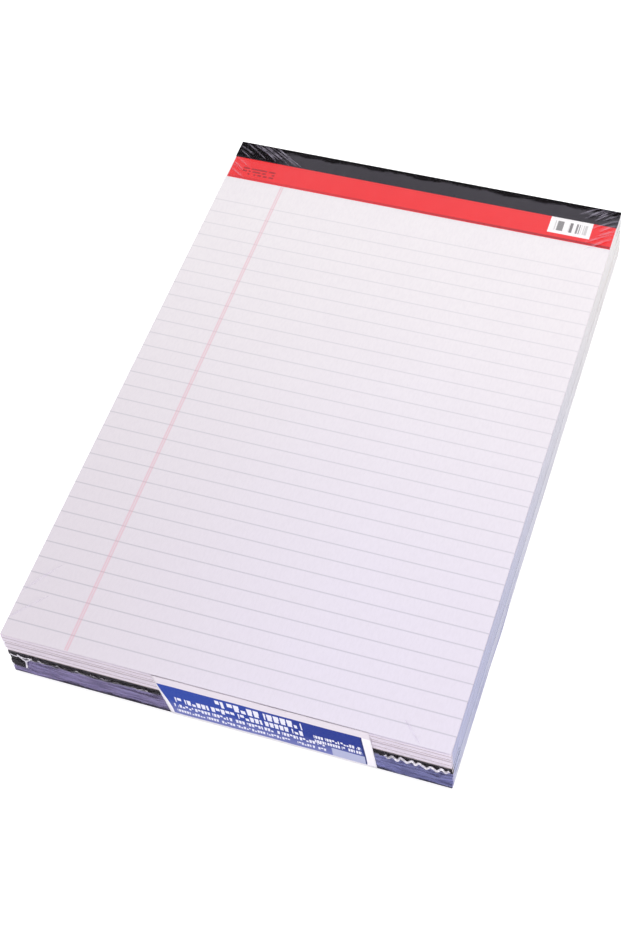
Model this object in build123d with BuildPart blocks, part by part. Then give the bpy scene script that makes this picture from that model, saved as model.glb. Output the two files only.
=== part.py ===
from build123d import *
import os

# A clear shrink-wrapped pack of ruled writing pads. Each pad is a block of sheets on a backing
# board, stapled through a printed header band at the head and bound there by a folded tape.
# A taped head is thicker than the loose end, so half of the pads lie head to the back and half
# head to the front, and the pack comes out level. X is across the sheet, Y runs along it towards
# the head of the top pad, and Z is up from the face that the pack lies on. Lengths are in millimetres.

# Sheets and backing board
sheet_width = 210.0
tear_sheet_length = 297.0
head_depth = 27.0
sheet_thickness = 0.065
sheets_per_pad = 40
board_thickness = 0.45

# Header band and binding tape
header_thickness = 0.1
tape_thickness = 0.2
tape_front_flap = 11.5
tape_back_flap = 14.0

# Staples, of flat wire, under the tape
staple_crown = 12.0
staple_spacing = 110.0
staple_edge_distance = 6.0
staple_turned_leg = 4.0
staple_wire_width = 0.7
staple_wire_thickness = 0.4
staple_sink = 0.03

# Stack, counted from the bottom pad up
pads_per_half = 5
stack_side_play = 0.9
stack_end_play = 0.8
side_shift_shares = (0.2, 0.5, 0.3, 0.45, 0.1, -0.15, -0.4, -0.2, -0.5, -0.3)
end_shift_shares = (-0.3, 0.2, -0.5, 0.0, -0.2, 0.3, 0.1, 0.5, -0.35, -0.5)

# Shrink film and its trimmed weld, and the label stuck to the front of it
film_thickness = 0.03
weld_stand_out = 0.7
weld_thickness = 0.12
weld_label_gap = 1.0
label_width = 101.0
label_height = 31.4
label_thickness = 0.1
label_lift = 0.8
label_off_middle = 20.5

# Sizes that follow from those above
pad_length = tear_sheet_length + head_depth
spine_reach = pad_length - tape_thickness
pad_count = 2 * pads_per_half
tail_thickness = board_thickness + sheets_per_pad * sheet_thickness
head_thickness = tail_thickness + header_thickness + 2 * tape_thickness
stack_width = sheet_width + stack_side_play
stack_length = pad_length + stack_end_play
stack_height = pads_per_half * (head_thickness + tail_thickness)
film_width = stack_width + 2 * film_thickness
film_length = stack_length + 2 * film_thickness
film_height = stack_height + 2 * film_thickness


def level_height(level, y):
    """Height at y of the plane between two pads, with as many pads under it as the level says."""
    heads_in_front = min(level, pads_per_half)
    heads_behind = level - heads_in_front
    front = heads_in_front * head_thickness + heads_behind * tail_thickness
    back = heads_in_front * tail_thickness + heads_behind * head_thickness
    return film_thickness + (front + back) / 2 + (back - front) * y / pad_length


def staple_points(top, bottom, under_crown, over_legs):
    """Outline of a staple across the pad, its crown above and its legs turned in below."""
    outer = staple_crown / 2
    inner = outer - staple_wire_thickness
    turned = outer - staple_turned_leg
    half = [
        (outer, top),
        (outer, bottom),
        (turned, bottom),
        (turned, over_legs),
        (inner, over_legs),
        (inner, under_crown),
    ]
    return half + [(-x, z) for x, z in reversed(half)]


os.makedirs("parts", exist_ok=True)

for pad in range(pad_count):
    pad_name = f"pad_{pad + 1:02d}"
    head_way = -1 if pad < pads_per_half else 1
    left_edge = stack_side_play * side_shift_shares[pad] - sheet_width / 2
    pad_middle = stack_end_play * end_shift_shares[pad]

    def place(reach):
        """Y of a point at this reach from the loose end of the pad."""
        return pad_middle + head_way * (reach - pad_length / 2)

    def base(reach):
        """Lowest face of the pad, which is the back flap of the tape at the head."""
        return level_height(pad, place(reach))

    def crest(reach):
        """Highest face of the pad, which is the front flap of the tape at the head."""
        return level_height(pad + 1, place(reach))

    def board_bottom(reach):
        return base(reach) + tape_thickness * reach / pad_length

    def board_top(reach):
        return board_bottom(reach) + board_thickness

    def block_top(reach):
        return crest(reach) - (tape_thickness + header_thickness) * reach / pad_length

    def header_top(reach):
        return block_top(reach) + header_thickness

    pad_side = Plane.YZ.offset(left_edge)
    staple_reach = pad_length - staple_edge_distance
    staple_section = Plane.XZ.offset(-place(staple_reach))
    staple_middle = left_edge + sheet_width / 2
    staple_spots = [(staple_middle - staple_spacing / 2, 0), (staple_middle + staple_spacing / 2, 0)]
    crown_top = header_top(staple_reach) - staple_sink
    crown_under = crown_top - staple_wire_thickness
    leg_bottom = board_bottom(staple_reach) + staple_sink
    leg_over = leg_bottom + staple_wire_thickness
    staple_outline = staple_points(crown_top, leg_bottom, crown_under, leg_over)
    bed_outline = staple_points(crest(staple_reach), base(staple_reach), crown_under, leg_over)

    # Staples: two flat-wire staples driven from the front, their legs turned in under the board
    with BuildPart() as staples:
        with BuildSketch(staple_section):
            with Locations(*staple_spots):
                Polygon(*staple_outline, align=None)
        extrude(amount=staple_wire_width / 2, both=True)

    # Staple beds: the room that a staple takes up in the header, the sheets and the board
    with BuildPart() as staple_beds:
        with BuildSketch(staple_section):
            with Locations(*staple_spots):
                Polygon(*bed_outline, align=None)
        extrude(amount=staple_wire_width / 2, both=True)

    # Backing board: grey card of the full pad size, under the sheets
    with BuildPart() as backing_board:
        with BuildSketch(pad_side):
            with BuildLine():
                Polyline(
                    (place(0), board_bottom(0)),
                    (place(spine_reach), board_bottom(spine_reach)),
                    (place(spine_reach), board_top(spine_reach)),
                    (place(0), board_top(0)),
                    close=True,
                )
            make_face()
        extrude(amount=sheet_width)
        add(staple_beds.part, mode=Mode.SUBTRACT)

    # Sheet block: all the ruled sheets of the pad, cut square at the loose end
    with BuildPart() as sheet_block:
        with BuildSketch(pad_side):
            with BuildLine():
                Polyline(
                    (place(0), board_top(0)),
                    (place(spine_reach), board_top(spine_reach)),
                    (place(spine_reach), block_top(spine_reach)),
                    (place(0), block_top(0)),
                    close=True,
                )
            make_face()
        extrude(amount=sheet_width)
        add(staple_beds.part, mode=Mode.SUBTRACT)

    # Header band: printed paper over the bound head, down to where the sheets tear off
    with BuildPart() as header_band:
        with BuildSketch(pad_side):
            with BuildLine():
                Polyline(
                    (place(tear_sheet_length), block_top(tear_sheet_length)),
                    (place(spine_reach), block_top(spine_reach)),
                    (place(spine_reach), header_top(spine_reach)),
                    (place(tear_sheet_length), header_top(tear_sheet_length)),
                    close=True,
                )
            make_face()
        extrude(amount=sheet_width)
        add(staple_beds.part, mode=Mode.SUBTRACT)

    # Binding tape: folded round the head, from its front flap over the spine to its back flap
    front_reach = pad_length - tape_front_flap
    back_reach = pad_length - tape_back_flap
    with BuildPart() as binding_tape:
        with BuildSketch(pad_side) as tape_section:
            with BuildLine():
                Polyline(
                    (place(front_reach), crest(front_reach)),
                    (place(pad_length), crest(pad_length)),
                    (place(pad_length), base(pad_length)),
                    (place(back_reach), base(back_reach)),
                    (place(back_reach), board_bottom(back_reach)),
                    (place(spine_reach), board_bottom(spine_reach)),
                    (place(spine_reach), header_top(spine_reach)),
                    (place(front_reach), header_top(front_reach)),
                    close=True,
                )
            make_face()
            fold_corners = tape_section.vertices().sort_by(Axis.X)
            fillet(fold_corners[-2:] if head_way > 0 else fold_corners[:2], radius=tape_thickness)
        extrude(amount=sheet_width)

    pad_pieces = {
        "backing_board": backing_board,
        "sheet_block": sheet_block,
        "header_band": header_band,
        "binding_tape": binding_tape,
        "staples": staples,
    }
    for piece_name, piece in pad_pieces.items():
        piece.part.label = f"{pad_name}_{piece_name}"
        export_step(piece.part, f"parts/{pad_name}_{piece_name}.step")

# Shrink film: a closed skin drawn tight over the stack, its two halves welded and trimmed off at
# half height along the front and both sides. The weld lies flat behind the label.
with BuildPart() as shrink_film:
    with BuildSketch():
        Rectangle(film_width, film_length)
    extrude(amount=film_height)
    with BuildSketch(Plane.XY.offset(film_height / 2)):
        with Locations((0, -weld_stand_out / 2)):
            Rectangle(film_width + 2 * weld_stand_out, film_length + weld_stand_out)
        with Locations((label_off_middle, -film_length / 2)):
            Rectangle(label_width + 2 * weld_label_gap, 2 * weld_stand_out, mode=Mode.SUBTRACT)
    extrude(amount=weld_thickness / 2, both=True)
    with BuildSketch(Plane.XY.offset(film_thickness)):
        Rectangle(stack_width, stack_length)
    extrude(amount=stack_height, mode=Mode.SUBTRACT)
shrink_film.part.label = "shrink_film"
export_step(shrink_film.part, "parts/shrink_film.step")

# Pack label: a printed paper sticker on the front of the film, over the weld
with BuildPart() as pack_label:
    with BuildSketch(Plane.XZ.offset(film_length / 2)):
        with Locations((label_off_middle, label_lift + label_height / 2)):
            Rectangle(label_width, label_height)
    extrude(amount=label_thickness)
pack_label.part.label = "pack_label"
export_step(pack_label.part, "parts/pack_label.step")
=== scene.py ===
import math
import random

import bmesh
import bpy
import numpy as np
from mathutils import Matrix, Vector


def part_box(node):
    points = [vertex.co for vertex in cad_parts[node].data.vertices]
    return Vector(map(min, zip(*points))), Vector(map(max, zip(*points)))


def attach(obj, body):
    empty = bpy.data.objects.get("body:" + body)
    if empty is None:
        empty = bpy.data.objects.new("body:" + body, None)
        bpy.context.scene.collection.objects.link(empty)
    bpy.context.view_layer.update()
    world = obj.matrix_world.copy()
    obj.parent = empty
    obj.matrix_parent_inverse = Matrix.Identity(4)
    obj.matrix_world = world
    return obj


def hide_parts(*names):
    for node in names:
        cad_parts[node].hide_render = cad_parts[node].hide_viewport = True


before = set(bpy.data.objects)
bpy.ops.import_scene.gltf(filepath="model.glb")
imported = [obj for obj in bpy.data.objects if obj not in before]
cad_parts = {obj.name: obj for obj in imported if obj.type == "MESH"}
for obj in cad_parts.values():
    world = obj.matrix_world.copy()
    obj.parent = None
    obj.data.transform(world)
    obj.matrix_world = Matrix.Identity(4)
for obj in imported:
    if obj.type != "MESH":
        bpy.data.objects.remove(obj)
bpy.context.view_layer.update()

# Sheets: forty ruled sheets to a pad, cut together and held only by the stapled head.
# Thin white paper, ruled in grey with a double pink margin. The cut edges lie a hair out of line.
mm = 0.001
sheets_per_pad = 40
sheet_share = 0.82
edge_scatter = 0.09 * mm
rule_pitch = 8.75 * mm
last_rule = 8.5 * mm
rule_count = 32
rule_width = 0.34 * mm
rule_softness = 0.4 * mm
margin_place = 32.2 * mm
margin_gap = 1.05 * mm
margin_width = 0.5 * mm
margin_softness = 0.5 * mm
print_start, print_full = 0.2 * mm, 0.6 * mm
painted_cool_light_run = 160 * mm
tear_length = 297 * mm
same_place = 0.01 * mm
pads = sorted(name.removesuffix("_sheet_block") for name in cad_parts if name.endswith("_sheet_block"))

# Sheets that have slid back into the stack: pad, first and last of them, slip at the left and the right
slipped_sheets = (("pad_08", 18, 39, 6.0 * mm, 0.0), ("pad_10", 28, 38, 0.0, 3.0 * mm))


def colour(red, green, blue):
    """A linear colour from the values that a screen shows."""

    def linear(value):
        share = value / 255
        return share / 12.92 if share <= 0.04045 else ((share + 0.055) / 1.055) ** 2.4

    return (linear(red), linear(green), linear(blue), 1.0)


def feed(tree, value, socket):
    """Links an output to a socket, or sets the socket to a plain value."""
    if isinstance(value, bpy.types.NodeSocket):
        tree.links.new(value, socket)
    else:
        socket.default_value = value


def add_node(tree, kind, inputs=None, **settings):
    """A new node with its settings made and its inputs fed."""
    node = tree.nodes.new(kind)
    for name, value in settings.items():
        setattr(node, name, value)
    for name, value in (inputs or {}).items():
        feed(tree, value, node.inputs[name])
    return node


def maths(tree, operation, *values):
    """The outcome of a sum, product or other operation on values and outputs."""
    node = add_node(tree, "ShaderNodeMath", operation=operation)
    for socket, value in zip(node.inputs, values):
        feed(tree, value, socket)
    return node.outputs[0]


def product(tree, value, *others):
    """All the values multiplied."""
    for other in others:
        value = maths(tree, "MULTIPLY", value, other)
    return value


def apart(tree, first, second):
    """How far two values lie apart."""
    return maths(tree, "ABSOLUTE", maths(tree, "SUBTRACT", first, second))


def ramp(tree, value, start, end, low=0.0, high=1.0):
    """A value eased from low to high as it goes from start to end."""
    settings = {"Value": value, "From Min": start, "From Max": end, "To Min": low, "To Max": high}
    return add_node(tree, "ShaderNodeMapRange", settings, interpolation_type="SMOOTHSTEP").outputs[0]


def tinted(tree, share, first, second):
    """A colour between two others."""
    node = add_node(tree, "ShaderNodeMix", data_type="RGBA")
    for socket, value in ((0, share), (6, first), (7, second)):
        feed(tree, value, node.inputs[socket])
    return node.outputs[2]


def parts_of(tree, vector):
    """The three parts of a vector."""
    return add_node(tree, "ShaderNodeSeparateXYZ", {"Vector": vector}).outputs


def object_place(tree):
    """Where a point lies on the object."""
    return add_node(tree, "ShaderNodeTexCoord").outputs["Object"]


def flat_share(tree):
    """1 on faces that look up or down, and 0 on cut edges."""
    normal = add_node(tree, "ShaderNodeTexCoord").outputs["Normal"]
    return maths(tree, "GREATER_THAN", maths(tree, "ABSOLUTE", parts_of(tree, normal)[2]), 0.5)


def stretched_noise(tree, place, stretch, scale, detail=4.0, roughness=0.6):
    """Noise drawn out along some axes, for fibres, cut edges and drawn film."""
    turned = add_node(tree, "ShaderNodeMapping", {"Vector": place, "Scale": stretch}).outputs[0]
    settings = {"Vector": turned, "Scale": scale, "Detail": detail, "Roughness": roughness}
    return add_node(tree, "ShaderNodeTexNoise", settings).outputs["Fac"]


def new_material(name, **plain):
    """A material, its nodes and its main shader, with the plain values set on the shader."""
    material = bpy.data.materials.new(name)
    material.use_nodes = True
    shader = material.node_tree.nodes["Principled BSDF"]
    for socket, value in plain.items():
        shader.inputs[socket.replace("_", " ")].default_value = value
    return material, material.node_tree, shader


def bump(tree, shader, height, depth, strength):
    """Raises the surface by a height from 0 to 1."""
    settings = {"Height": height, "Distance": depth, "Strength": strength}
    feed(tree, add_node(tree, "ShaderNodeBump", settings).outputs[0], shader.inputs["Normal"])


def new_group(name, inputs, outputs):
    """A node group with named inputs and outputs, to be placed in several materials."""
    group = bpy.data.node_groups.new(name, "ShaderNodeTree")
    for label, value in inputs.items():
        socket = group.interface.new_socket(label, in_out="INPUT", socket_type="NodeSocketFloat")
        socket.default_value = value
    for label in outputs:
        group.interface.new_socket(label, in_out="OUTPUT", socket_type="NodeSocketFloat")
    return group, group.nodes.new("NodeGroupInput").outputs, group.nodes.new("NodeGroupOutput").inputs


def place_group(tree, group, **values):
    """A placed node group's outputs."""
    node = add_node(tree, "ShaderNodeGroup", node_tree=group)
    for label, value in values.items():
        feed(tree, value, node.inputs[label.replace("_", " ")])
    return node.outputs


# The felted look of paper and card: soft clouds of tone, and short fibres that lie mostly one way
fibre_sizes = {"Cloud Size": 20 * mm, "Fibre Size": 1.2 * mm}
paper_fibre, fibre_in, fibre_out = new_group("paper_fibre", fibre_sizes, ("Cloud", "Fibre"))
fibre_place = object_place(paper_fibre)
cloud_scale = maths(paper_fibre, "DIVIDE", 1.0, fibre_in["Cloud Size"])
fibre_scale = maths(paper_fibre, "DIVIDE", 1.0, fibre_in["Fibre Size"])
clouds = stretched_noise(paper_fibre, fibre_place, (1, 1, 1), cloud_scale)
fibres = stretched_noise(paper_fibre, fibre_place, (1, 0.3, 1), fibre_scale, 3.0)
feed(paper_fibre, clouds, fibre_out["Cloud"])
feed(paper_fibre, fibres, fibre_out["Fibre"])

ruled_paper, paper, paper_shader = new_material("ruled_paper", Specular_IOR_Level=0.25)
sheet_place = add_node(paper, "ShaderNodeUVMap", uv_map="sheet_print").outputs[0]
sheet_across, sheet_along, _ = parts_of(paper, sheet_place)
paper_felt = place_group(paper, paper_fibre, Cloud_Size=30 * mm, Fibre_Size=1.1 * mm)
# Painted shade and a painted cool cast of light: the sheets are drawn darker towards their loose end, and
# more lavender further across them.
painted_cool_light_share = ramp(paper, sheet_across, 0.0, painted_cool_light_run)
paper_shaded_loose_end = tinted(paper, painted_cool_light_share, colour(228, 221, 228), colour(235, 229, 243))
paper_white = tinted(paper, ramp(paper, sheet_along, 0.0, tear_length), paper_shaded_loose_end, colour(243, 239, 240))
cloud_share = product(paper, paper_felt["Cloud"], 0.4)
paper_white = tinted(paper, cloud_share, paper_white, colour(232, 226, 232))
fibre_share = ramp(paper, paper_felt["Fibre"], 0.35, 0.7, 0.0, 0.1)
paper_white = tinted(paper, fibre_share, paper_white, colour(200, 194, 204))
rule_step = maths(paper, "DIVIDE", maths(paper, "SUBTRACT", sheet_along, last_rule), rule_pitch)
rule_number = maths(paper, "MAXIMUM", maths(paper, "ROUND", rule_step), 0.0)
rule_number = maths(paper, "MINIMUM", rule_number, rule_count - 1.0)
rule_distance = product(paper, apart(paper, rule_step, rule_number), rule_pitch)
rule_ink = ramp(paper, rule_distance, 0.0, rule_width / 2 + rule_softness, 1.0, 0.0)
margin_distance = apart(paper, apart(paper, sheet_across, margin_place), margin_gap / 2)
margin_ink = ramp(paper, margin_distance, 0.0, margin_width / 2 + margin_softness, 0.5, 0.0)
printed_length = ramp(paper, sheet_along, print_start, print_full)
below_head = product(paper, maths(paper, "LESS_THAN", sheet_along, tear_length), printed_length)
print_wear = ramp(paper, paper_felt["Fibre"], 0.2, 0.75, 1.0, 0.7)
print_fade = product(paper, flat_share(paper), print_wear)
ink_density = ramp(paper, sheet_along, 0.0, tear_length, 0.53, 0.28)
rule_ink = product(paper, rule_ink, print_fade, ink_density)
margin_ink = product(paper, margin_ink, print_fade, below_head)
paper_top = tinted(paper, rule_ink, paper_white, colour(158, 160, 170))
paper_top = tinted(paper, margin_ink, paper_top, colour(230, 160, 176))
edge_grain = stretched_noise(paper, object_place(paper), (0.02, 0.02, 1.0), 2600.0, 3.0, 0.75)
paper_edge = tinted(paper, ramp(paper, edge_grain, 0.35, 0.7), colour(224, 213, 219), colour(247, 239, 244))
feed(paper, tinted(paper, flat_share(paper), paper_edge, paper_top), paper_shader.inputs["Base Color"])
feed(paper, ramp(paper, paper_felt["Fibre"], 0.2, 0.8, 0.74, 0.9), paper_shader.inputs["Roughness"])
bump(paper, paper_shader, paper_felt["Fibre"], 0.03 * mm, 0.5)


def head_way(pad):
    """1 where the bound head of the pad lies to the back, and -1 where it lies to the front."""
    low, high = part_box(f"{pad}_header_band")
    return 1 if low.y + high.y > 0 else -1


def end_levels(node, y):
    """Lowest and highest point of a node at its end at y."""
    heights = [v.co.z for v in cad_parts[node].data.vertices if abs(v.co.y - y) < same_place]
    return min(heights), max(heights)


def make_piece(mesh, name, *materials):
    """A named piece from a finished bmesh, on the pack's one body."""
    data = bpy.data.meshes.new(name)
    mesh.to_mesh(data)
    mesh.free()
    for material in materials:
        data.materials.append(material)
    piece = bpy.data.objects.new(name, data)
    bpy.context.scene.collection.objects.link(piece)
    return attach(piece, "root")


scatter = random.Random(40)
for pad in pads:
    block = f"{pad}_sheet_block"
    low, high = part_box(block)
    way = head_way(pad)
    tail, head = (low.y, high.y) if way > 0 else (high.y, low.y)
    tail_low, tail_high = end_levels(block, tail)
    head_low, head_high = end_levels(block, head)
    ream = bmesh.new()
    for sheet in range(sheets_per_pad):
        sheet_low, sheet_high = sheet / sheets_per_pad, (sheet + sheet_share) / sheets_per_pad
        if sheet == sheets_per_pad - 1:
            sheet_high = 1.0
        left = low.x + scatter.uniform(0, edge_scatter)
        right = high.x - scatter.uniform(0, edge_scatter)
        loose = tail + way * scatter.uniform(0, edge_scatter)
        slip_left, slip_right = 0.0, 0.0
        for slipped_pad, first, last, at_left, at_right in slipped_sheets:
            if pad == slipped_pad and first <= sheet <= last:
                slip_left, slip_right = at_left, at_right
        for corner in bmesh.ops.create_cube(ream, size=1.0)["verts"]:
            at_head = (corner.co.y > 0) == (way > 0)
            lowest, highest = (head_low, head_high) if at_head else (tail_low, tail_high)
            level = sheet_high if corner.co.z > 0 else sheet_low
            corner.co = (
                right if corner.co.x > 0 else left,
                head if at_head else loose + way * (slip_right if corner.co.x > 0 else slip_left),
                lowest + (highest - lowest) * level,
            )
    print_layer = ream.loops.layers.uv.new("sheet_print")
    for face in ream.faces:
        for loop in face.loops:
            point = loop.vert.co
            across = point.x - low.x if way > 0 else high.x - point.x
            loop[print_layer].uv = (across, abs(point.y - tail))
    sheets = make_piece(ream, f"{pad}_sheets", ruled_paper)
    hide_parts(block)

# Backing boards: grey pulp card of the full pad size, under the sheets.
# Rolled from waste paper, so that flecks of ink and fibre show in it, and cut with the sheets.
grey_board, board, board_shader = new_material("grey_board", Roughness=0.9, Specular_IOR_Level=0.2)
board_felt = place_group(board, paper_fibre, Cloud_Size=8 * mm, Fibre_Size=0.9 * mm)
fleck_settings = {"Vector": object_place(board), "Scale": 900.0}
flecks = add_node(board, "ShaderNodeTexVoronoi", fleck_settings).outputs["Distance"]
board_tone = tinted(board, board_felt["Cloud"], colour(200, 190, 187), colour(216, 208, 204))
board_tone = tinted(board, product(board, board_felt["Fibre"], 0.3), board_tone, colour(166, 157, 154))
board_tone = tinted(board, ramp(board, flecks, 0.05, 0.18, 0.5, 0.0), board_tone, colour(128, 120, 118))
board_edge = tinted(board, board_felt["Cloud"], colour(146, 130, 128), colour(174, 158, 154))
feed(board, tinted(board, flat_share(board), board_edge, board_tone), board_shader.inputs["Base Color"])
bump(board, board_shader, board_felt["Fibre"], 0.05 * mm, 0.6)


def dress(node_name, material):
    """Gives a solid of the frame its one material."""
    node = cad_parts[node_name]
    node.data.materials.clear()
    node.data.materials.append(material)


for pad in pads:
    dress(f"{pad}_backing_board", grey_board)

# Header bands: a paper strip stapled over the head, printed red, with a white box for a bar code
# and a few rows of small dark print at its left end. The cut edges show the white of the paper.
print_softness = 0.12 * mm
code_left, code_right = 70.6 * mm, 92.7 * mm
code_low, code_high = 138.9 * mm, 151 * mm
bars_low, bars_high = 141.0 * mm, 147.8 * mm
bar_pitch = 0.27 * mm

# Groups of bars: where each starts and ends, in millimetres from the box's left edge, and how dark it is
bar_groups = ((2.5, 4.2, 0.3), (4.2, 7.4, 0.75), (10.3, 12.2, 0.8), (14.0, 16.0, 0.75), (16.6, 20.0, 0.35))
small_print_left, small_print_right = -98 * mm, -80 * mm
small_print_low, small_print_pitch, small_print_rows = 138.0 * mm, 2.0 * mm, 3
small_print_high = small_print_low + small_print_rows * small_print_pitch
word_pitch = 1.1 * mm
# A painted shadow line along the lower edge of the band: its lift from the edge, its core and reach, and
# where across it goes from faint to dark
line_lift, line_core, line_reach = 1.1 * mm, 0.4 * mm, 1.0 * mm
line_faint, line_dark = -100 * mm, 80 * mm
band_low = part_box("pad_10_header_band")[0].y
band_print_start, band_print_end = -104.84 * mm, 104.5 * mm

box_inputs = {"Across": 0, "Along": 0, "Left": 0, "Right": 0, "Low": 0, "High": 0}
printed_box, box_in, box_out = new_group("printed_box", box_inputs, ("Ink",))
inside = []
for upper, lower in (("Across", "Left"), ("Along", "Low"), ("Right", "Across"), ("High", "Along")):
    inset = maths(printed_box, "SUBTRACT", box_in[upper], box_in[lower])
    inside.append(ramp(printed_box, inset, -print_softness, print_softness))
feed(printed_box, product(printed_box, *inside), box_out["Ink"])

# A row of ink marks and gaps of uneven width, as bars or as the grey of small print seen from afar
row_inputs = {"Across": 0, "Pitch": 1 * mm, "Gaps": 0.3, "Mark": 1.0, "Row": 0}
broken_row, row_in, row_out = new_group("broken_row", row_inputs, ("Ink",))
mark_step = maths(broken_row, "DIVIDE", row_in["Across"], row_in["Pitch"])
mark_number = maths(broken_row, "FLOOR", mark_step)
mark_place = add_node(broken_row, "ShaderNodeCombineXYZ", {"X": mark_number, "Y": row_in["Row"]}).outputs[0]
mark_draw = add_node(broken_row, "ShaderNodeTexWhiteNoise", {"Vector": mark_place}, noise_dimensions="2D")
mark_shown = maths(broken_row, "GREATER_THAN", mark_draw.outputs["Value"], row_in["Gaps"])
mark_inside = maths(broken_row, "LESS_THAN", maths(broken_row, "FRACT", mark_step), row_in["Mark"])
feed(broken_row, product(broken_row, mark_shown, mark_inside), row_out["Ink"])


def header_print(name, way):
    """The printed band, or the same turned half way round for pads that lie the other way."""
    material, tree, shader = new_material(name, Specular_IOR_Level=0.1)
    turn = {"Vector": object_place(tree), "Rotation": (0, 0, 0 if way > 0 else math.pi)}
    across, along, _ = parts_of(tree, add_node(tree, "ShaderNodeMapping", turn).outputs[0])
    felt = place_group(tree, paper_fibre, Cloud_Size=14 * mm, Fibre_Size=1.6 * mm)

    def box(left, right, low, high):
        limits = {"Left": left, "Right": right, "Low": low, "High": high}
        return place_group(tree, printed_box, Across=across, Along=along, **limits)["Ink"]

    red = tinted(tree, felt["Cloud"], colour(237, 31, 30), colour(247, 41, 40))
    red = tinted(tree, ramp(tree, felt["Fibre"], 0.55, 0.9, 0.0, 0.2), red, colour(250, 100, 96))
    # Painted shadow: a dark red line along the lower edge of the band, fainter at the left and darker at
    # the right.
    painted_shadow_line = ramp(tree, apart(tree, along, band_low + line_lift), line_core, line_reach, 1.0, 0.0)
    painted_shadow_line = product(tree, painted_shadow_line, ramp(tree, across, line_faint, line_dark, 0.3, 0.8))
    red = tinted(tree, painted_shadow_line, red, colour(150, 14, 24))
    row_step = maths(tree, "DIVIDE", along, small_print_pitch)
    row_number = maths(tree, "FLOOR", row_step)
    row_place = maths(tree, "FRACT", row_step)
    row_ink = maths(tree, "LESS_THAN", apart(tree, row_place, 0.5), 0.26)
    words = place_group(tree, broken_row, Across=across, Pitch=word_pitch, Gaps=0.3, Row=row_number)["Ink"]
    field = box(small_print_left, small_print_right, small_print_low, small_print_high)
    small_ink = product(tree, words, field, row_ink, 0.75)
    red = tinted(tree, small_ink, red, colour(132, 20, 26))
    red = tinted(tree, box(code_left, code_right, code_low, code_high), red, colour(254, 252, 251))
    bars = place_group(tree, broken_row, Across=across, Pitch=bar_pitch, Gaps=0.34)["Ink"]
    for first, last, strength in bar_groups:
        group = box(code_left + first * mm, code_left + last * mm, bars_low, bars_high)
        red = tinted(tree, product(tree, group, bars, strength), red, colour(62, 56, 58))
    after_start = maths(tree, "GREATER_THAN", across, band_print_start)
    before_end = maths(tree, "LESS_THAN", across, band_print_end)
    printed = product(tree, flat_share(tree), after_start, before_end)
    feed(tree, tinted(tree, printed, colour(238, 234, 236), red), shader.inputs["Base Color"])
    feed(tree, ramp(tree, felt["Fibre"], 0.2, 0.8, 0.48, 0.65), shader.inputs["Roughness"])
    bump(tree, shader, felt["Fibre"], 0.02 * mm, 0.4)
    return material


header_finish = {1: header_print("header_print", 1), -1: header_print("header_print_turned", -1)}
for pad in pads:
    dress(f"{pad}_header_band", header_finish[head_way(pad)])

# Binding tapes: black cloth tape, glued round the head from the front flap over the spine.
# A fine plain weave under a thin coat, a little rubbed on the threads that stand out.
thread_pitch = 0.55 * mm
binding_tape, tape, tape_shader = new_material("binding_tape", Specular_IOR_Level=0.03)
tape_x, tape_y, tape_z = parts_of(tape, object_place(tape))
thread_turns = 2 * math.pi / thread_pitch
weft = maths(tape, "SINE", product(tape, tape_x, thread_turns))
warp = maths(tape, "SINE", product(tape, maths(tape, "ADD", tape_y, tape_z), thread_turns))
weave = maths(tape, "MULTIPLY_ADD", product(tape, weft, warp), 0.5, 0.5)
tape_felt = place_group(tape, paper_fibre, Cloud_Size=12 * mm, Fibre_Size=2 * mm)
tape_black = tinted(tape, tape_felt["Cloud"], colour(10, 8, 10), colour(20, 17, 20))
wear = ramp(tape, tape_felt["Fibre"], 0.4, 0.75, 0.1, 0.5)
rubbed = product(tape, ramp(tape, weave, 0.6, 1.0), wear)
feed(tape, tinted(tape, rubbed, tape_black, colour(46, 42, 46)), tape_shader.inputs["Base Color"])
feed(tape, ramp(tape, weave, 0.0, 1.0, 0.7, 0.5), tape_shader.inputs["Roughness"])
bump(tape, tape_shader, weave, 0.04 * mm, 0.5)
for pad in pads:
    dress(f"{pad}_binding_tape", binding_tape)

# Staples: two flat-wire staples to a pad, driven through the head before the tape goes on.
# Zinc-coated steel, drawn lengthwise, so that fine lines run along the crown.
staple_wire, wire, wire_shader = new_material("staple_wire", Metallic=1.0)
drawn_lines = stretched_noise(wire, object_place(wire), (0.05, 1.0, 1.0), 9000.0)
wire_tone = tinted(wire, drawn_lines, colour(150, 152, 156), colour(198, 200, 204))
feed(wire, wire_tone, wire_shader.inputs["Base Color"])
feed(wire, ramp(wire, drawn_lines, 0.2, 0.8, 0.25, 0.45), wire_shader.inputs["Roughness"])
for pad in pads:
    dress(f"{pad}_staples", staple_wire)

# Shrink film: one clear skin drawn tight over the stack by heat, with pinched folds that run out from
# the corners. Its two halves are welded at half height, and the trimmed weld is crimped by the heat.
film_slack = 0.12 * mm
film_round = 0.45 * mm
top_cell = 3.0 * mm
wall_cell = 1.9 * mm
weld_zone = 4.5 * mm
front_bulge, side_bulge = 0.9 * mm, 0.15 * mm
weld_fade = 2.0 * mm
drawn_run = 12 * mm
press_out, press_in = 4 * mm, 1 * mm
floor_ease = 3 * mm
left_swing, right_swing, zigzag_lift = 0.9 * mm, 2.2 * mm, 0.7 * mm
weld_folds, drawn_folds, near_end_share = 30, 18, 0.6
label_low, label_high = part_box("pack_label")

# Least and most height and width of the folds, in millimetres
top_fold_heights, top_fold_widths = (0.2, 0.42), (0.4, 0.65)
weld_fold_heights, drawn_fold_heights, wall_fold_widths = (0.08, 0.24), (0.12, 0.32), (0.5, 0.9)


def pad_reach(pad, axis, side):
    """How far a pad reaches out to one side, and its lowest and highest point."""
    boxes = [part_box(f"{pad}_{part}") for part in ("sheet_block", "binding_tape")]
    reach = max(side * box[side > 0][axis] for box in boxes)
    return reach, min(box[0].z for box in boxes), max(box[1].z for box in boxes)


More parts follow.
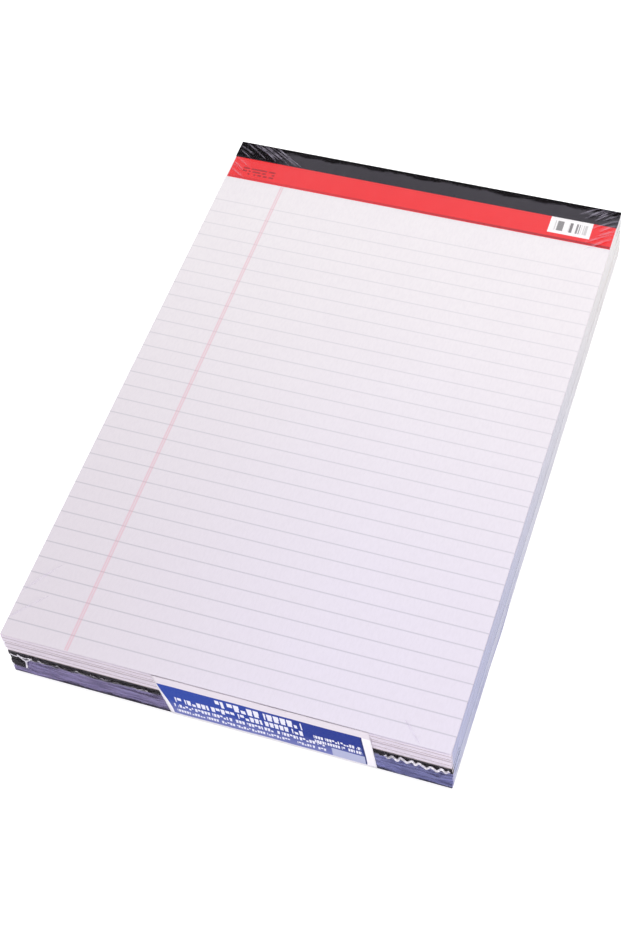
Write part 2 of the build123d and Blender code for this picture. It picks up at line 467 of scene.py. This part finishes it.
pad_reaches = {
    (axis, side): [pad_reach(pad, axis, side) for pad in pads] for axis in (0, 1) for side in (-1, 1)
}
stack_reach = {way: max(row[0] for row in rows) for way, rows in pad_reaches.items()}
stack_top = max(row[2] for row in pad_reaches[0, 1])
skin_low = Vector((-stack_reach[0, -1] - film_slack, -stack_reach[1, -1] - film_slack, 0.0))
skin_high = Vector((stack_reach[0, 1] + film_slack, stack_reach[1, 1] + film_slack, stack_top + film_slack))
weld_height = (skin_low.z + skin_high.z) / 2


def cut_cells(mesh, axis, cell):
    """Cuts the edges that run along an axis into cells of about this length."""

    def run(edge):
        return abs(edge.verts[0].co[axis] - edge.verts[1].co[axis])

    long_edges = [edge for edge in mesh.edges if run(edge) > 2 * cell]
    cuts = round(max(run(edge) for edge in long_edges) / cell) - 1
    bmesh.ops.subdivide_edges(mesh, edges=long_edges, cuts=cuts, use_grid_fill=True)


def halve_cells(mesh, wanted):
    """Halves the cells whose corners are all wanted."""
    fine = [edge for edge in mesh.edges if all(wanted(vert.co) for vert in edge.verts)]
    bmesh.ops.subdivide_edges(mesh, edges=fine, cuts=1, use_grid_fill=True)


def on_wall(point):
    """True on the four walls, short of the top and bottom edges."""
    return skin_low.z + film_round < point.z < skin_high.z - film_round


def on_front(point):
    """True on the front wall."""
    return on_wall(point) and point.y < skin_low.y + film_round


def near_bare_weld(point):
    """True near the weld on the front, where the label doesn't press it flat."""
    near_weld = abs(point.z - weld_height) < weld_zone
    return on_front(point) and near_weld and not label_low.x < point.x < label_high.x


# How the film is pulled at each corner of the top: folds from the end and from the side, their angle
# to the end and their lengths, and how often the cells within their reach are halved
top_corners = (
    {"side": -1, "end": 1, "angle": 33, "from_end": 9, "from_side": 6, "long": (17, 24), "short": (7, 12),
     "reach": (30 * mm, 30 * mm), "halved": 3},
    {"side": 1, "end": 1, "angle": 40, "from_end": 6, "from_side": 6, "long": (9, 14), "short": (10, 17),
     "reach": (17 * mm, 30 * mm), "halved": 3},
    {"side": -1, "end": -1, "angle": 52, "from_end": 0, "from_side": 2, "long": (13, 22), "short": (13, 22),
     "reach": (26 * mm, 46 * mm), "halved": 2},
    {"side": 1, "end": -1, "angle": 48, "from_end": 1, "from_side": 0, "long": (10, 16), "short": (10, 16),
     "reach": (26 * mm, 26 * mm), "halved": 2},
)


def in_top_corner(corner):
    """A test for points near a corner of the top face."""

    def near(point):
        from_side = skin_high.x - point.x if corner["side"] > 0 else point.x - skin_low.x
        from_end = skin_high.y - point.y if corner["end"] > 0 else point.y - skin_low.y
        on_top = point.z > skin_high.z - same_place
        return on_top and from_side < corner["reach"][0] and from_end < corner["reach"][1]

    return near


skin = bmesh.new()
bmesh.ops.create_cube(skin, size=1.0)
bmesh.ops.scale(skin, vec=skin_high - skin_low, verts=skin.verts)
bmesh.ops.translate(skin, vec=(skin_low + skin_high) / 2, verts=skin.verts)
bmesh.ops.bevel(
    skin, geom=skin.edges[:], offset=film_round, affect="EDGES", segments=3, profile=0.5, material=-1
)
cut_cells(skin, 0, top_cell)
cut_cells(skin, 1, top_cell)
cut_cells(skin, 2, wall_cell)
halve_cells(skin, on_wall)
halve_cells(skin, on_front)
halve_cells(skin, near_bare_weld)
for corner in top_corners:
    for _ in range(corner["halved"]):
        halve_cells(skin, in_top_corner(corner))
skin.normal_update()
skin_places = np.array([vert.co for vert in skin.verts])
skin_normals = np.array([vert.normal for vert in skin.verts])
skin_x, skin_y, skin_z = skin_places.T.copy()
skin_lift = np.zeros(len(skin_places))
pulls = random.Random(7)


def eased(values, start, end):
    """0 at start and 1 at end, eased between them."""
    share = np.clip((values - start) / (end - start), 0, 1)
    return share * share * (3 - 2 * share)


def drawn_line(heights, rows):
    """How far out a film drawn tight over stepped pads lies, at some heights."""
    steps = [(row[level], row[0]) for row in rows for level in (1, 2)]
    heights = np.clip(heights, min(steps)[0], max(steps)[0])
    line = np.full(len(heights), min(row[0] for row in rows))
    for low, first in steps:
        for high, last in steps:
            if high > low:
                share = (heights - low) / (high - low)
                bridged = np.where((share >= 0) & (share <= 1), first + (last - first) * share, 0)
                line = np.maximum(line, bridged)
    return line


def fold(face, axes, start, end, height, width):
    """Lifts a pinched fold that runs from start to end on one face and dies out at both ends."""
    run = np.array(end) - np.array(start)
    length = np.hypot(*run)
    offset = skin_places[:, axes] - np.array(start)
    along = offset @ run / length**2
    across = (offset[:, 0] * run[1] - offset[:, 1] * run[0]) / length
    taper = np.sin(np.pi * np.clip(along, 0, 1)) ** 0.7
    ridge = np.exp(0.3 - np.hypot(across / width, 0.3))
    skin_lift[face] += (height * ridge * taper)[face]


top = skin_normals[:, 2] > 0.5
top_folds = []
for corner in top_corners:
    side, end = corner["side"], corner["end"]
    tip = np.array((skin_high.x if side > 0 else skin_low.x, skin_high.y if end > 0 else skin_low.y))
    inward = np.array((-side, -end))
    for number in range(corner["from_end"] + corner["from_side"]):
        from_edge = pulls.uniform(0.3, 1.5) * mm
        if number < corner["from_end"]:
            share = 0.06 + 0.7 * (number + pulls.random()) / corner["from_end"]
            start = tip + inward * (share * corner["reach"][0], from_edge)
        else:
            share = 0.08 + 0.72 * (number - corner["from_end"] + pulls.random()) / corner["from_side"]
            start = tip + inward * (from_edge, share * corner["reach"][1])
        turn = math.radians(corner["angle"] + pulls.uniform(-5, 5))
        length = pulls.uniform(*corner["long" if number < corner["from_end"] else "short"]) * mm
        finish = start + inward * (length * math.cos(turn), length * math.sin(turn))
        height = pulls.uniform(*top_fold_heights) * mm
        fold(top, (0, 1), start, finish, height, pulls.uniform(*top_fold_widths) * mm)
        top_folds.append((start, finish, height))

# The weld's line along the front, thrown into a zigzag by the heat, most of all at the right end
zigzag = random.Random(3)
zigzag_x, zigzag_z = [skin_low.x], [weld_height]
while zigzag_x[-1] < skin_high.x:
    bare_right = zigzag_x[-1] > label_high.x
    swing = (right_swing if bare_right else left_swing) * zigzag.uniform(0.4, 1.0)
    rise = swing if len(zigzag_x) % 2 else -swing
    zigzag_x.append(zigzag_x[-1] + zigzag.uniform(1.1, 3.8) * mm)
    zigzag_z.append(weld_height + zigzag_lift + rise)

walls = {
    "front": (skin_normals[:, 1] < -0.5, (0, 2), skin_low.x, skin_high.x),
    "back": (skin_normals[:, 1] > 0.5, (0, 2), skin_low.x, skin_high.x),
    "left": (skin_normals[:, 0] < -0.5, (1, 2), skin_low.y, skin_high.y),
    "right": (skin_normals[:, 0] > 0.5, (1, 2), skin_low.y, skin_high.y),
}
wall_bulge = {"front": front_bulge, "back": 0.0, "left": side_bulge, "right": side_bulge}
for wall, (face, axes, first, last) in walls.items():
    weld_line = np.interp(skin_x, zigzag_x, zigzag_z) if wall == "front" else weld_height
    skin_lift[face] += (wall_bulge[wall] * np.exp(-np.abs(skin_z - weld_line) / weld_fade))[face]
    for _ in range(weld_folds):
        near_end = pulls.random() < near_end_share
        place = pulls.choice((first, last)) if near_end else pulls.uniform(first, last)
        away = 1 if place <= first else -1 if place >= last else pulls.choice((-1, 1))
        rise = pulls.choice((-1, 1))
        start = (place + away * pulls.uniform(0, 4) * mm, weld_height + rise * pulls.uniform(1, 4) * mm)
        finish = (start[0] + away * pulls.uniform(2, 14) * mm, start[1] + rise * pulls.uniform(3, 13) * mm)
        height = pulls.uniform(*weld_fold_heights) * mm
        fold(face, axes, start, finish, height, pulls.uniform(*wall_fold_widths) * mm)
    for _ in range(drawn_folds):
        start = (pulls.uniform(first, last), pulls.uniform(2, 15) * mm)
        finish = (start[0] + pulls.uniform(14, 44) * mm, start[1] + pulls.uniform(-3, 3) * mm)
        height = pulls.uniform(*drawn_fold_heights) * mm
        fold(face, axes, start, finish, height, pulls.uniform(*wall_fold_widths) * mm)

# Where the label presses the film flat, and along the bottom edge, the film keeps to the stack
behind_label = (
    eased(skin_x, label_low.x - press_out, label_low.x + press_in)
    * eased(-skin_x, -label_high.x - press_out, -label_high.x + press_in)
    * (skin_normals[:, 1] < -0.5)
)
off_floor = np.where(top, 1.0, eased(skin_z, skin_low.z + film_round, skin_low.z + floor_ease))
skin_lift *= (1 - behind_label) * off_floor
skin_places += skin_normals * skin_lift[:, None]
for (axis, side), rows in pad_reaches.items():
    outermost = stack_reach[axis, side]
    pull = outermost - drawn_line(skin_z, rows)
    near_wall = eased(side * (skin_x, skin_y)[axis], outermost - drawn_run, outermost)
    skin_places[:, axis] -= side * pull * near_wall * (1 - behind_label)
for vert, place in zip(skin.verts, skin_places):
    vert.co = place
for face in skin.faces:
    face.smooth = True


def weld_bead(mesh, path, outward, radii, material_index):
    """A half-round bead of film along a path, with a radius at each point, on a face that looks outward."""
    made = bmesh.ops.create_grid(mesh, x_segments=len(path) - 1, y_segments=4, size=0.5)["verts"]
    for vert in made:
        station = round((vert.co.x + 0.5) * (len(path) - 1))
        along = path[min(station + 1, len(path) - 1)] - path[max(station - 1, 0)]
        across = outward.cross(along).normalized()
        turn = vert.co.y * math.pi
        swell = outward * math.cos(turn) + across * math.sin(turn)
        vert.co = path[station] + swell * radii[station]
    for face in {face for vert in made for face in vert.link_faces}:
        face.smooth = True
        face.material_index = material_index


bead_step, side_bead_step = 0.45 * mm, 2 * mm
thin_bead, thick_bead, gather_bead, side_bead = 0.26 * mm, 0.58 * mm, 0.42 * mm, 0.16 * mm
side_sink = 0.1 * mm
label_clearance = 2 * mm
bead_draws = random.Random(5)


def front_bead(points, radius):
    """A bead on the front wall, through points given across and up."""
    xs, zs = zip(*points)
    runs = np.concatenate(([0.0], np.cumsum(np.hypot(np.diff(xs), np.diff(zs)))))
    stations = np.arange(0, runs[-1], bead_step)
    path = [
        Vector((x, skin_low.y - front_bulge * bead_draws.uniform(0.85, 1.05), z))
        for x, z in zip(np.interp(stations, runs, xs), np.interp(stations, runs, zs))
    ]
    weld_bead(skin, path, Vector((0, -1, 0)), [radius] * len(path), 1)


zigzag_points = list(zip(zigzag_x, zigzag_z))
left_end, right_start = label_low.x - label_clearance, label_high.x + label_clearance
front_bead([point for point in zigzag_points if point[0] < left_end], thin_bead)
front_bead([point for point in zigzag_points if right_start < point[0] < skin_high.x], thick_bead)

# The gather at the left end of the front, where three folds of the film meet; its beads take the weld's
# white, a painted highlight on the gather
gather = Vector((skin_low.x + 9.6 * mm, weld_height - 2.4 * mm))
gather_foot = gather + Vector((-0.8 * mm, -6.5 * mm))
front_bead((gather + Vector((-3.6 * mm, 4.6 * mm)), gather, gather_foot), gather_bead)
front_bead((gather + Vector((4.0 * mm, 4.4 * mm)), gather), gather_bead)
for side, wall_x in ((-1, skin_low.x), (1, skin_high.x)):
    bead_x = wall_x + side * (side_bulge - side_sink)
    side_path = [
        Vector((bead_x, y, weld_height + bead_draws.uniform(-0.15, 0.15) * mm))
        for y in np.arange(skin_low.y, skin_high.y, side_bead_step)
    ]
    weld_bead(skin, side_path, Vector((side, 0, 0)), [side_bead] * len(side_path), 0)

# The crests of the folds on top, where the film lies double: milky, and painted pale in place of the glints
# along the folds
crest_steps = np.linspace(0, 1, 18)
crest_rises = np.sin(np.pi * crest_steps) ** 0.7
crest_radii = [0.1 * mm + 0.34 * mm * rise for rise in crest_rises]
crest_sink = 0.12 * mm
for start, finish, height in top_folds:
    path = [
        Vector((*(start + (finish - start) * step), skin_high.z + height * rise - crest_sink))
        for step, rise in zip(crest_steps, crest_rises)
    ]
    weld_bead(skin, path, Vector((0, 0, 1)), crest_radii, 2)

# The film is clear where it is looked at squarely, and a pale mirror where it is looked at aslant.
# The haze sets how soon it turns into a mirror: it is a painted reflection strength that changes from place
# to place, and is strongest on the walls and over the head.
edge_tint = (0.61, 0.62, 0.65, 1.0)
clear_film, film, film_shader = new_material("clear_film", Metallic=1.0, Specular_Tint=edge_tint)
film_place = object_place(film)
film_across, film_along, film_height = parts_of(film, film_place)
film_draw = stretched_noise(film, film_place, (1.0, 0.25, 1.0), 160.0, 3.0)
film_fine = stretched_noise(film, film_place, (1.0, 1.0, 1.0), 420.0, 2.0)
streaks = stretched_noise(film, film_place, (0.12, 0.12, 1.0), 620.0, 3.0)
film_patch = maths(film, "SUBTRACT", stretched_noise(film, film_place, (1.0, 1.0, 1.0), 70.0, 3.0), 0.5)
patchy_height = maths(film, "MULTIPLY_ADD", film_patch, 10 * mm, film_height)
patchy_along = maths(film, "MULTIPLY_ADD", film_patch, 7 * mm, film_along)
feed(film, ramp(film, film_fine, 0.3, 0.8, 0.05, 0.16), film_shader.inputs["Roughness"])
film_relief = {"Height": film_draw, "Distance": 0.35 * mm, "Strength": 0.3}
film_normal = add_node(film, "ShaderNodeBump", film_relief).outputs[0]
feed(film, film_normal, film_shader.inputs["Normal"])
slant = add_node(film, "ShaderNodeLayerWeight", {"Blend": 0.5, "Normal": film_normal}).outputs["Facing"]


def towards_top(wall, top_face):
    """A value that goes from its size on the walls to its size on the top face."""
    return ramp(film, film_height, skin_high.z - 0.8 * mm, skin_high.z - 0.2 * mm, wall, top_face)


def towards_head(sheet, band):
    """A value that goes from its size over the sheet to its size over the header band."""
    return ramp(film, film_along, skin_high.y - 32 * mm, skin_high.y - 27 * mm, sheet, band)


# Painted reflection colours of the film's mirror: violet on the lower half of the front, paler above, and
# bluish to cream along the sides
upper_half = ramp(film, patchy_height, weld_height - 3.6 * mm, weld_height - 0.4 * mm)
clear_left = ramp(film, film_across, skin_low.x + 7.5 * mm, skin_low.x + 9.5 * mm, 1.0, 0.0)
clear_front = ramp(film, film_along, skin_low.y + 3 * mm, skin_low.y + 8 * mm, 1.0, 0.0)
clear_up = ramp(film, film_height, 4 * mm, 8 * mm)
upper_half = maths(film, "MAXIMUM", upper_half, product(film, clear_left, clear_front, clear_up))
left_reflection_tint = tinted(film, film_draw, colour(186, 172, 238), colour(218, 202, 255))
right_reflection_tint = tinted(film, film_draw, colour(160, 161, 246), colour(194, 195, 255))
lower_reflection_tint = tinted(film, ramp(film, film_across, -40 * mm, 70 * mm), left_reflection_tint, right_reflection_tint)
upper_reflection_tint = tinted(film, film_draw, colour(214, 208, 228), colour(236, 230, 244))
front_reflection_tint = tinted(film, upper_half, lower_reflection_tint, upper_reflection_tint)
side_run = ramp(film, film_along, skin_low.y, skin_high.y)
side_reflection_tint = tinted(film, side_run, colour(160, 172, 225), colour(250, 248, 236))
behind_front = ramp(film, film_along, skin_low.y + 0.8 * mm, skin_low.y + 2.0 * mm)
on_side = product(film, behind_front, towards_top(1.0, 0.0))
feed(film, tinted(film, on_side, front_reflection_tint, side_reflection_tint), film_shader.inputs["Base Color"])

# Painted reflection strength of the walls: streaky on the lower half of the front, almost clear at the foot
# and on the back
lower_painted_reflection = ramp(film, film_across, 60 * mm, 75 * mm, 1.03, 1.13)
lower_painted_reflection = ramp(film, patchy_height, 0.5 * mm, 4 * mm, 0.12, lower_painted_reflection)
lower_painted_reflection = product(film, lower_painted_reflection, ramp(film, streaks, 0.36, 0.64, 0.62, 1.15))
upper_painted_reflection = ramp(film, film_height, weld_height + 1.5 * mm, weld_height + 5 * mm, 0.08, 0.6)
side_painted_reflection = ramp(film, streaks, 0.36, 0.64, 0.85, 1.05)
wall_painted_reflection = ramp(film, upper_half, 0.0, 1.0, lower_painted_reflection, upper_painted_reflection)
wall_painted_reflection = ramp(film, on_side, 0.0, 1.0, wall_painted_reflection, side_painted_reflection)
wall_painted_reflection = ramp(film, film_along, skin_high.y - 2.0 * mm, skin_high.y - 0.8 * mm, wall_painted_reflection, 0.15)

# Painted reflection strength of the top: most over the head, less at its left corner, hardly any along the
# back edge
band_painted_reflection = towards_head(0.32, ramp(film, film_across, -40 * mm, 90 * mm, 0.9, 1.1))
corner_painted_reflection = ramp(film, film_along, skin_high.y - 15 * mm, skin_high.y - 11 * mm, 0.75, 0.08)
corner_painted_reflection = towards_head(0.32, corner_painted_reflection)
top_painted_reflection = ramp(film, film_across, skin_low.x + 20 * mm, skin_low.x + 34 * mm, corner_painted_reflection, band_painted_reflection)
top_painted_reflection = ramp(film, patchy_along, skin_high.y - 5.0 * mm, skin_high.y - 3.2 * mm, top_painted_reflection, 0.05)
mirror = product(film, maths(film, "POWER", slant, 2.0), towards_top(wall_painted_reflection, top_painted_reflection))
most_mirror = towards_top(ramp(film, on_side, 0.0, 1.0, 0.53, 0.82), 0.25)
feed(film, maths(film, "MINIMUM", mirror, most_mirror), film_shader.inputs["Alpha"])

# The weld's bead: milky welded film with painted highlights, drawn white and more solid to the right of the
# label and at the left end of the front, in place of the glints along the weld.
weld_and_glint_film, weld, weld_shader = new_material("weld_and_glint_film", Roughness=0.25, Specular_IOR_Level=0.7)
weld_place = object_place(weld)
weld_cloud = stretched_noise(weld, weld_place, (1.0, 1.0, 1.0), 700.0)
weld_across = parts_of(weld, weld_place)[0]
right_end_glint = ramp(weld, weld_across, label_high.x, label_high.x + 12 * mm, 0.0, 0.6)
left_end_glint = ramp(weld, weld_across, skin_low.x + 10 * mm, skin_low.x + 14 * mm, 0.6, 0.0)
weld_end_glint = maths(weld, "MAXIMUM", right_end_glint, left_end_glint)
weld_and_glint_tone = tinted(weld, weld_cloud, colour(232, 226, 240), colour(250, 248, 252))
feed(weld, weld_and_glint_tone, weld_shader.inputs["Base Color"])
weld_and_glint_cover = maths(weld, "ADD", ramp(weld, weld_cloud, 0.42, 0.68, 0.0, 0.6), weld_end_glint)
feed(weld, maths(weld, "MINIMUM", weld_and_glint_cover, 0.97), weld_shader.inputs["Alpha"])

# The fold crests' film: milky where it lies double, and painted pale as a stand-in for the glints on the
# folds.
fold_glint_film, doubled, doubled_shader = new_material("fold_glint_film", Roughness=0.3, Specular_IOR_Level=0.5)
milk_and_glint = stretched_noise(doubled, object_place(doubled), (1.0, 1.0, 1.0), 260.0)
fold_glint_tone = tinted(doubled, milk_and_glint, colour(206, 196, 222), colour(232, 224, 240))
feed(doubled, fold_glint_tone, doubled_shader.inputs["Base Color"])
feed(doubled, ramp(doubled, milk_and_glint, 0.3, 0.7, 0.06, 0.26), doubled_shader.inputs["Alpha"])
shrunk_film = make_piece(skin, "shrunk_film", clear_film, weld_and_glint_film, fold_glint_film)
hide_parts("shrink_film")

# Pack label: a paper sticker on the front of the film, printed with a blue field that is drawn paler
# towards the bottom.
# Rows of white blocks take the place of words. It lies on the film, a little uneven, with its sides aslant.
label_cell = 1.5 * mm
label_thickness = 0.1 * mm
label_gap = 0.03 * mm
left_slant, right_slant, label_lean = 3.4 * mm, 0.6 * mm, 2.0 * mm
label_rise = 0.45 * mm
label_width = label_high.x - label_low.x
label_height = label_high.z - label_low.z
label_columns, label_rows = round(label_width / label_cell), round(label_height / label_cell)

# The print, in millimetres from the lower left corner of the label
field_left, field_right = 1.0, 96.6
field_low, field_high = 1.2, 25.7
field_border, field_softness = 0.9, 0.3
pale_left, pale_right, pale_high = 80.6, 95.9, 8.2

sticker = bmesh.new()
bmesh.ops.create_grid(sticker, x_segments=label_columns, y_segments=label_rows, size=0.5)
for vert in sticker.verts:
    across, up = vert.co.x + 0.5, vert.co.y + 0.5
    long_wave = 0.06 * mm * (1 + math.sin(9 * across + 2 * up))
    short_wave = 0.04 * mm * (1 + math.sin(23 * across - 5 * up))
    slanted_left = label_low.x + left_slant * (1 - up) - label_lean * up
    slanted_right = label_high.x - (right_slant + label_lean) * up
    vert.co = (
        slanted_left + across * (slanted_right - slanted_left),
        skin_low.y - label_gap - (long_wave + short_wave),
        label_low.z + up * (label_height + label_rise),
    )
bmesh.ops.recalc_face_normals(sticker, faces=sticker.faces)
if sum(face.normal.y for face in sticker.faces) > 0:
    bmesh.ops.reverse_faces(sticker, faces=sticker.faces)
bmesh.ops.solidify(sticker, geom=sticker.faces[:], thickness=label_thickness)
for face in sticker.faces:
    face.smooth = True

label_print, label, label_shader = new_material("label_print", Specular_IOR_Level=0.1)
shift = {"Vector": object_place(label), "Location": (-label_low.x, 0, -label_low.z)}
label_across, _, label_up = parts_of(label, add_node(label, "ShaderNodeMapping", shift).outputs[0])
label_across = maths(label, "ADD", label_across, ramp(label, label_up, 0.0, label_height, 0.0, label_lean))
label_felt = place_group(label, paper_fibre, Cloud_Size=10 * mm, Fibre_Size=1 * mm)


def label_box(left, right, low, high):
    """Ink over a box of the label, in millimetres from its lower left corner."""
    limits = {"Left": left * mm, "Right": right * mm, "Low": low * mm, "High": high * mm}
    return place_group(label, printed_box, Across=label_across, Along=label_up, **limits)["Ink"]


def label_words(left, right, low, high, pitch, gaps, row):
    """Ink over a row of uneven blocks with gaps, as words stand in a row."""
    middle = low + 0.45 * (high - low)
    marks = 0.0
    for step, (bottom, top, mark) in enumerate(((low, middle + 0.2, 0.7), (middle, high, 0.8))):
        spacing = {"Pitch": pitch * mm, "Gaps": gaps, "Mark": mark, "Row": 2 * row + step}
        blocks = place_group(label, broken_row, Across=label_across, **spacing)["Ink"]
        blocks = product(label, blocks, label_box(left, right, bottom, top))
        marks = maths(label, "MAXIMUM", marks, blocks)
    word_spacing = {"Pitch": 5.5 * pitch * mm, "Gaps": 0.0, "Mark": 0.9, "Row": row}
    words = place_group(label, broken_row, Across=label_across, **word_spacing)["Ink"]
    return product(label, marks, words)


field_run = ramp(label, label_across, 15 * mm, 85 * mm)
deep_blue = tinted(label, field_run, colour(26, 60, 154), colour(4, 38, 130))
label_blue = tinted(label, ramp(label, label_up, 1 * mm, 15 * mm), colour(112, 119, 178), deep_blue)
label_blue = tinted(label, product(label, label_felt["Fibre"], 0.06), label_blue, colour(120, 130, 200))
right_border = label_box(field_right - field_border, field_right, field_low, field_high)
label_blue = tinted(label, right_border, label_blue, colour(26, 38, 104))

# Rows of blocks: left, right, lower and upper edge, pitch of the blocks, and the share of them left out
block_rows = (
    (28.5, 68.8, 17.9, 23.7, 3.1, 0.05),
    (8.0, 68.4, 12.2, 16.4, 2.3, 0.14),
    (6.5, 78.0, 7.6, 10.4, 1.5, 0.2),
    (6.5, 78.0, 3.4, 5.6, 1.3, 0.22),
    (73.4, 95.0, 13.4, 16.0, 1.3, 0.12),
    (73.4, 95.0, 9.6, 12.2, 1.2, 0.12),
)
white_ink = 0.0
for row, (left, right, low, high, pitch, gaps) in enumerate(block_rows, start=1):
    white_ink = maths(label, "MAXIMUM", white_ink, label_words(left, right, low, high, pitch, gaps, row))
label_tone = tinted(label, product(label, white_ink, 0.92), label_blue, colour(240, 240, 248))
pale_box = label_box(pale_left, pale_right, field_low, pale_high)
label_tone = tinted(label, pale_box, label_tone, colour(180, 184, 212))
field_slant = ramp(label, label_up, 0.0, label_height, left_slant * 1.2, 0.0)
from_slant = maths(label, "SUBTRACT", label_across, field_slant)
inside_slant = ramp(label, from_slant, field_left * mm, (field_left + field_softness) * mm)
field_ink = product(label, inside_slant, label_box(field_left, field_right, field_low, field_high))

# The bare margin is white at the sides, and has the tone of the sheets along the top edge of the stack
over_field = ramp(label, label_up, (field_high - 2 * field_softness) * mm, field_high * mm)
margin_tone = tinted(label, over_field, colour(246, 243, 247), colour(224, 217, 223))
label_tone = tinted(label, field_ink, margin_tone, label_tone)
feed(label, label_tone, label_shader.inputs["Base Color"])
feed(label, ramp(label, label_felt["Fibre"], 0.2, 0.8, 0.4, 0.6), label_shader.inputs["Roughness"])
bump(label, label_shader, label_felt["Fibre"], 0.02 * mm, 0.4)
front_label = make_piece(sticker, "front_label", label_print)
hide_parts("pack_label")

# Floor: a pale studio table that the pack lies on, wide enough to have no edge in view.
# It is seen as white where it is lit, and keeps the pack's soft shadow.
floor_radius, floor_drop = 4.0, 0.2 * mm
floor_mesh = bmesh.new()
bmesh.ops.create_circle(floor_mesh, cap_ends=True, segments=64, radius=floor_radius)
bmesh.ops.translate(floor_mesh, vec=(0, 0, -floor_drop), verts=floor_mesh.verts)
floor_data = bpy.data.meshes.new("studio_floor")
floor_mesh.to_mesh(floor_data)
floor_mesh.free()
floor = bpy.data.objects.new("studio_floor", floor_data)
bpy.context.scene.collection.objects.link(floor)


def seen_directly(tree):
    """1 for the camera and for what metal, glass and film show, and 0 for light on the object."""
    path = add_node(tree, "ShaderNodeLightPath").outputs
    mirrored = maths(tree, "MAXIMUM", path["Is Glossy Ray"], path["Is Transmission Ray"])
    return maths(tree, "MAXIMUM", path["Is Camera Ray"], mirrored)


pale_floor = bpy.data.materials.new("pale_floor")
pale_floor.use_nodes = True
ground = pale_floor.node_tree
ground.nodes.clear()
matt = add_node(ground, "ShaderNodeBsdfDiffuse", {"Color": (0.8, 0.8, 0.8, 1.0)}).outputs[0]
glow = add_node(ground, "ShaderNodeEmission", {"Color": (1.0, 1.0, 1.0, 1.0), "Strength": 0.6}).outputs[0]
bright = add_node(ground, "ShaderNodeAddShader", {0: matt, 1: glow}).outputs[0]
shown = add_node(ground, "ShaderNodeMixShader", {0: seen_directly(ground), 1: matt, 2: bright}).outputs[0]
feed(ground, shown, add_node(ground, "ShaderNodeOutputMaterial").inputs["Surface"])
floor_data.materials.append(pale_floor)

# Studio light: a wide soft box overhead at the back right, a strip low on the right, a cool fill
# from the front, and an even pale surround that is seen as white.
studio = bpy.data.worlds.new("studio")
bpy.context.scene.world = studio
studio.use_nodes = True
surround = studio.node_tree
surround.nodes.clear()


def even_glow(tint, strength):
    """A surround of one tone."""
    settings = {"Color": (*tint, 1.0), "Strength": strength}
    return add_node(surround, "ShaderNodeBackground", settings).outputs[0]


soft = even_glow((0.99, 0.985, 1.0), 0.58)
white = even_glow((1.0, 1.0, 1.0), 1.0)
surround_mix = {0: seen_directly(surround), 1: soft, 2: white}
around = add_node(surround, "ShaderNodeMixShader", surround_mix).outputs[0]
feed(surround, around, add_node(surround, "ShaderNodeOutputWorld").inputs["Surface"])


def soft_lamp(name, place, target, width, height, power, tint):
    """A soft box that looks at a target, and that isn't mirrored in the film."""
    data = bpy.data.lights.new(name, "AREA")
    data.shape = "RECTANGLE"
    data.size, data.size_y, data.energy, data.color = width, height, power, tint
    lamp = bpy.data.objects.new(name, data)
    bpy.context.scene.collection.objects.link(lamp)
    lamp.location = place
    lamp.visible_glossy = False
    lamp.rotation_euler = (Vector(target) - Vector(place)).to_track_quat("-Z", "Y").to_euler()


soft_lamp("key_light", (0.25, 0.65, 1.05), (0.0, 0.1, 0.0), 1.3, 1.3, 8.4, (1.0, 0.99, 0.985))
soft_lamp("side_light", (0.42, 0.38, 0.10), (0.1, 0.05, 0.02), 0.45, 0.18, 0.75, (1.0, 0.995, 1.0))
soft_lamp("fill_light", (0.25, -1.10, 0.40), (0.0, -0.16, 0.02), 0.6, 0.6, 5.85, (0.96, 0.93, 1.0))

# Camera: looks down on the front right corner from above, a little rolled, as the pack was shot.
# Its lens is a longish one, so that the far end of the pack draws in only a little.
camera_place = (0.19885, -0.48562, 0.70884)
camera_down, camera_turn, camera_roll = 53.97, 23.87, -6.63
camera_data = bpy.data.cameras.new("camera")
camera_data.sensor_width = 36.0
camera_data.lens = 68.25
camera = bpy.data.objects.new("camera", camera_data)
bpy.context.scene.collection.objects.link(camera)
camera.matrix_world = (
    Matrix.Translation(camera_place)
    @ Matrix.Rotation(math.radians(camera_turn), 4, "Z")
    @ Matrix.Rotation(math.radians(90 - camera_down), 4, "X")
    @ Matrix.Rotation(math.radians(camera_roll), 4, "Z")
)
bpy.context.scene.camera = camera
bpy.context.scene.view_settings.view_transform = "Standard"
